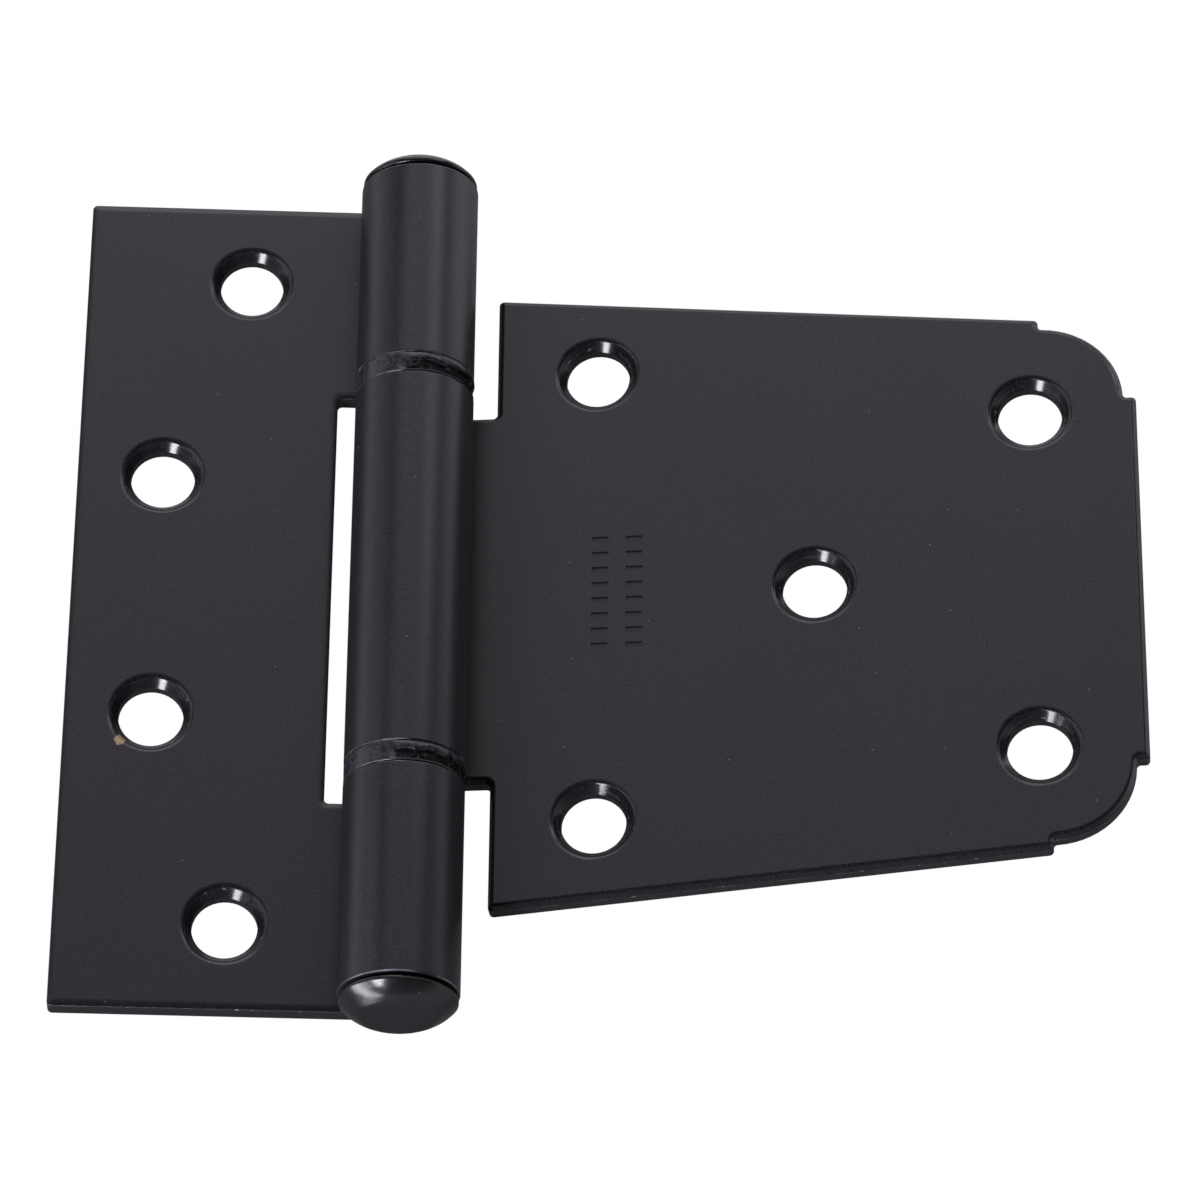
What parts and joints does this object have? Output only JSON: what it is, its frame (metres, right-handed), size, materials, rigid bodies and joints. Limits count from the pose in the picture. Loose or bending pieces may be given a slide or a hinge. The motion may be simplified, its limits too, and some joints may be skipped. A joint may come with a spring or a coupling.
{
  "type": "t hinge",
  "caption": "Black sheet-steel gate T hinge: slotted rectangular post leaf and wide tapered gate leaf with countersunk screw holes, swinging on a riveted button-head pin.",
  "frame": {"origin": "on the post leaf's back plane, straight under the pin axis and half way along the pin", "axes": "+X from the pin towards the gate leaf, +Y along the pin towards its capped end, +Z out of the front of the post leaf"},
  "size_m": [0.1305, 0.1164, 0.0148],
  "materials": {
    "leaf_coating": "satin black powder coat",
    "pin_coating": "semi-gloss black coating",
    "washer_coating": "rough black coating bridged from the eyes beside it"
  },
  "bodies": {
    "post": {"post_leaf": "leaf_coating", "hinge_pin": "pin_coating", "pin_cap": "pin_coating"},
    "gate": {"gate_leaf": "leaf_coating"},
    "upper_ring": {"upper_washer": "washer_coating"},
    "lower_ring": {"lower_washer": "washer_coating"}
  },
  "joints": [
    {"name": "gate_swing", "type": "hinge", "parent": "post", "child": "gate", "pos_m": [0, 0, 0.00731], "axis": [0, -1, 0], "range_deg": [-110, 180]},
    {"name": "upper_washer_spin", "type": "hinge", "parent": "post", "child": "upper_ring", "pos_m": [0, 0.02675, 0.00731], "axis": [0, 1, 0], "continuous": true},
    {"name": "lower_washer_spin", "type": "hinge", "parent": "post", "child": "lower_ring", "pos_m": [0, -0.02675, 0.00731], "axis": [0, 1, 0], "continuous": true}
  ]
}
